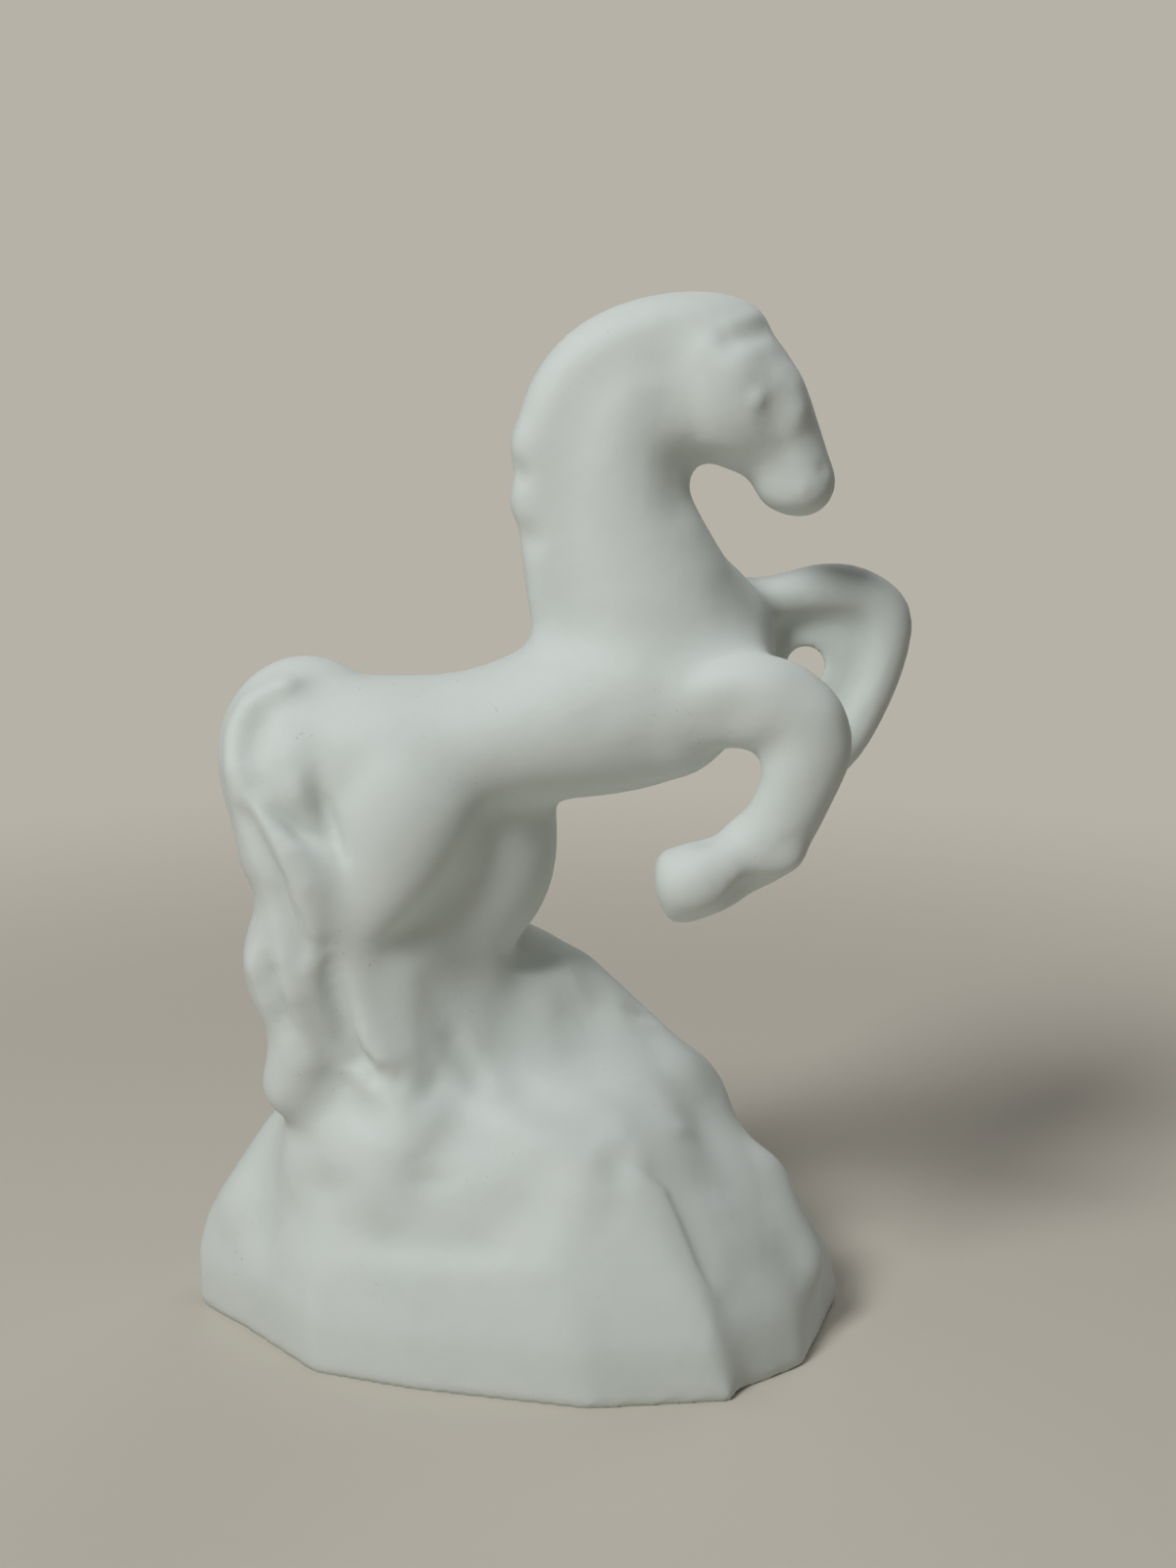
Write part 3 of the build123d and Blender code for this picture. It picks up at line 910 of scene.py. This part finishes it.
def bisque_porcelain(finish):
    """Bisque porcelain: slip cast, wiped with a sponge and fired once without glaze.

    The eye sees a cool white with no gloss, a fine dry grain, slightly cloudy, painted shade in the
    hollows as a darker, greener tone, and a few grey specks in open pores.
    """
    material = bpy.data.materials.new("bisque_porcelain")
    material.use_nodes = True
    tree = material.node_tree
    shader = tree.nodes["Principled BSDF"]
    shader.inputs["IOR"].default_value = 1.5
    shader.inputs["Specular IOR Level"].default_value = 0.35
    place = add_node(tree, "ShaderNodeTexCoord").outputs["Object"]
    # Clouds in the fired body, about 9 mm across
    cloud = add_node(tree, "ShaderNodeTexNoise", values={"Scale": 1 / (9 * MM), "Detail": 3.0},
                     links={"Vector": place})
    cloud_share = add_node(tree, "ShaderNodeMapRange",
                           values={"From Min": 0.35, "From Max": 0.7, "To Max": 0.35},
                           links={"Value": cloud.outputs["Fac"]})
    body = add_node(tree, "ShaderNodeMix", {"data_type": "RGBA"}, links={0: cloud_share.outputs["Result"]})
    body.inputs[6].default_value = hex_linear(finish.bisque)
    body.inputs[7].default_value = hex_linear(finish.painted_shade_and_cloud)
    # Painted shade in the hollows, a darker, greener tone
    painted_shade_and_cloud = add_node(tree, "ShaderNodeAttribute", {"attribute_name": "painted_shade_and_cloud"})
    painted_shade_share = add_node(tree, "ShaderNodeMapRange", values={"To Max": 0.6},
                        links={"Value": painted_shade_and_cloud.outputs["Fac"]})
    with_painted_shade = add_node(tree, "ShaderNodeMix", {"data_type": "RGBA"},
                      links={0: painted_shade_share.outputs["Result"], 6: body.outputs[2]})
    with_painted_shade.inputs[7].default_value = hex_linear(finish.painted_shade_and_cloud)
    # Open pores with grey dust, about 0.4 mm across, in some patches only
    pore = add_node(tree, "ShaderNodeTexNoise", values={"Scale": 1 / (0.8 * MM), "Detail": 2.0},
                    links={"Vector": place})
    patch = add_node(tree, "ShaderNodeTexNoise", values={"Scale": 1 / (14 * MM)}, links={"Vector": place})
    inside = add_node(tree, "ShaderNodeMapRange", values={"From Min": 0.68, "From Max": 0.75},
                      links={"Value": pore.outputs["Fac"]})
    dusty = add_node(tree, "ShaderNodeMapRange",
                     values={"From Min": 0.55, "From Max": 0.70, "To Max": 0.4},
                     links={"Value": patch.outputs["Fac"]})
    speck = add_node(tree, "ShaderNodeMath", {"operation": "MULTIPLY"},
                     links={0: inside.outputs["Result"], 1: dusty.outputs["Result"]})
    specked = add_node(tree, "ShaderNodeMix", {"data_type": "RGBA"},
                       links={0: speck.outputs["Value"], 6: with_painted_shade.outputs[2]})
    specked.inputs[7].default_value = hex_linear(finish.dust)
    tree.links.new(specked.outputs[2], shader.inputs["Base Color"])
    # Dry grain of the fired body, drawn at 0.5 mm so that it shows
    grain = add_node(tree, "ShaderNodeTexNoise", values={"Scale": 1 / (0.5 * MM), "Detail": 4.0},
                     links={"Vector": place})
    rough = add_node(tree, "ShaderNodeMapRange", values={"To Min": 0.55, "To Max": 0.8},
                     links={"Value": grain.outputs["Fac"]})
    tree.links.new(rough.outputs["Result"], shader.inputs["Roughness"])
    # Soft marks of the sponge, about 3 mm apart, under the grain
    wiped = add_node(tree, "ShaderNodeTexNoise", values={"Scale": 1 / (3 * MM), "Detail": 1.0},
                     links={"Vector": place})
    marks = add_node(tree, "ShaderNodeBump", values={"Strength": 0.25, "Distance": 0.25 * MM},
                     links={"Height": wiped.outputs["Fac"]})
    bumped = add_node(tree, "ShaderNodeBump", values={"Strength": 0.35, "Distance": 0.06 * MM},
                      links={"Height": grain.outputs["Fac"], "Normal": marks.outputs["Normal"]})
    tree.links.new(bumped.outputs["Normal"], shader.inputs["Normal"])
    return material


class FIGURINE_OT_part(bpy.types.Operator):
    """Part the carved clay into its castings"""

    bl_idname = "figurine.part"
    bl_label = "Part castings"

    def execute(self, context):
        clay = bpy.data.objects["clay"]
        # Measures the hollows for the painted shade
        measure_painted_shade(clay)
        face_label = casting_labels(clay)
        skin = [list(face.vertices) for face in clay.data.polygons]
        porcelain = bisque_porcelain(context.scene.figurine_finish)
        for index, node in enumerate(CASTINGS):
            faces = [skin[spot] for spot in np.nonzero(face_label == index)[0]]
            piece = part_casting(clay, node, faces, context.scene.figurine_clay.wall)
            piece.data.materials.append(porcelain)
            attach(piece, "root")
            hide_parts(node)
        bpy.data.objects.remove(clay)
        return {"FINISHED"}


class FIGURINE_OT_stage(bpy.types.Operator):
    """Lay the floor, hang the lamps and set the camera"""

    bl_idname = "figurine.stage"
    bl_label = "Stage"

    def execute(self, context):
        settings = context.scene.figurine_finish
        deselect_all()
        bpy.ops.mesh.primitive_plane_add(size=FLOOR_SIZE)
        floor = context.object
        floor.name = "floor"
        floor.data.materials.append(pale_floor(settings))
        scene = context.scene
        scene.view_settings.view_transform = "Standard"
        scene.world = soft_room(settings)
        for lamp in LAMPS:
            hang_lamp(lamp)
        camera = bpy.data.cameras.new("camera")
        camera.sensor_width = SENSOR_WIDTH
        camera.lens = CAMERA_LENS_PIXELS / PHOTO_HEIGHT * camera.sensor_width
        holder = bpy.data.objects.new("camera", camera)
        holder.location = CAMERA_PLACE * MM
        holder.rotation_euler = CAMERA_TURN
        scene.collection.objects.link(holder)
        scene.camera = holder
        return {"FINISHED"}


def pale_floor(finish):
    """Plain matt paper: lit near the figure, and one even tone from a hand's breadth away."""
    material = bpy.data.materials.new("pale_paper")
    material.use_nodes = True
    tree = material.node_tree
    paper = tree.nodes["Principled BSDF"]
    paper.inputs["Base Color"].default_value = hex_linear(finish.floor)
    paper.inputs["Roughness"].default_value = 0.9
    place = add_node(tree, "ShaderNodeTexCoord").outputs["Object"]
    away = add_node(tree, "ShaderNodeVectorMath", {"operation": "LENGTH"}, links={0: place})
    fade = add_node(tree, "ShaderNodeMapRange", {"interpolation_type": "SMOOTHSTEP"},
                    {"From Min": FADE_NEAR, "From Max": FADE_FAR}, {"Value": away.outputs["Value"]})
    seen = add_node(tree, "ShaderNodeLightPath").outputs["Is Camera Ray"]
    share = add_node(tree, "ShaderNodeMath", {"operation": "MULTIPLY"},
                     links={0: fade.outputs["Result"], 1: seen})
    even = add_node(tree, "ShaderNodeEmission", values={"Color": hex_linear(finish.backdrop)})
    mixed = add_node(tree, "ShaderNodeMixShader",
                     links={0: share.outputs["Value"], 1: paper.outputs["BSDF"],
                            2: even.outputs["Emission"]})
    tree.links.new(mixed.outputs["Shader"], tree.nodes["Material Output"].inputs["Surface"])
    return material


def soft_room(finish):
    """A weak even light from all round, with the backdrop's tone where it is seen."""
    world = bpy.data.worlds.new("soft_room")
    world.use_nodes = True
    tree = world.node_tree
    fill = tree.nodes["Background"]
    fill.inputs["Color"].default_value = hex_linear(finish.fill)
    fill.inputs["Strength"].default_value = FILL_STRENGTH
    path = add_node(tree, "ShaderNodeLightPath")
    mirrored = add_node(tree, "ShaderNodeMath", {"operation": "MAXIMUM"},
                        links={0: path.outputs["Is Glossy Ray"], 1: path.outputs["Is Transmission Ray"]})
    seen = add_node(tree, "ShaderNodeMath", {"operation": "MAXIMUM"},
                    links={0: path.outputs["Is Camera Ray"], 1: mirrored.outputs["Value"]})
    even = add_node(tree, "ShaderNodeBackground", values={"Color": hex_linear(finish.backdrop)})
    mixed = add_node(tree, "ShaderNodeMixShader",
                     links={0: seen.outputs["Value"], 1: fill.outputs["Background"],
                            2: even.outputs["Background"]})
    tree.links.new(mixed.outputs["Shader"], tree.nodes["World Output"].inputs["Surface"])
    return world


def hang_lamp(lamp):
    """Hangs a square soft lamp that looks at the middle of the figure."""
    light = bpy.data.lights.new(lamp.name, "AREA")
    light.size = lamp.size
    light.energy = lamp.power
    holder = bpy.data.objects.new(lamp.name, light)
    holder.location = lamp.place
    aim = LAMP_AIM - Vector(lamp.place)
    holder.rotation_euler = aim.to_track_quat("-Z", "Y").to_euler()
    bpy.context.scene.collection.objects.link(holder)


class FIGURINE_PT_panel(bpy.types.Panel):
    """Lists the steps of the figurine"""

    bl_label = "Bisque horse"
    bl_idname = "FIGURINE_PT_panel"
    bl_space_type = "VIEW_3D"
    bl_region_type = "UI"
    bl_category = "Figurine"

    def draw(self, context):
        for step in STEPS:
            self.layout.operator(step.bl_idname)


STEPS = (FIGURINE_OT_lute, FIGURINE_OT_carve, FIGURINE_OT_part, FIGURINE_OT_stage)
CLASSES = (FIGURINE_PG_clay, FIGURINE_PG_finish) + STEPS + (FIGURINE_PT_panel,)


def register():
    for item in CLASSES:
        bpy.utils.register_class(item)
    bpy.types.Scene.figurine_clay = bpy.props.PointerProperty(type=FIGURINE_PG_clay)
    bpy.types.Scene.figurine_finish = bpy.props.PointerProperty(type=FIGURINE_PG_finish)


def unregister():
    del bpy.types.Scene.figurine_finish
    del bpy.types.Scene.figurine_clay
    for item in reversed(CLASSES):
        bpy.utils.unregister_class(item)


def main():
    register()
    bpy.ops.figurine.lute()
    bpy.ops.figurine.carve()
    bpy.ops.figurine.part()
    bpy.ops.figurine.stage()


if __name__ == "__main__":
    main()
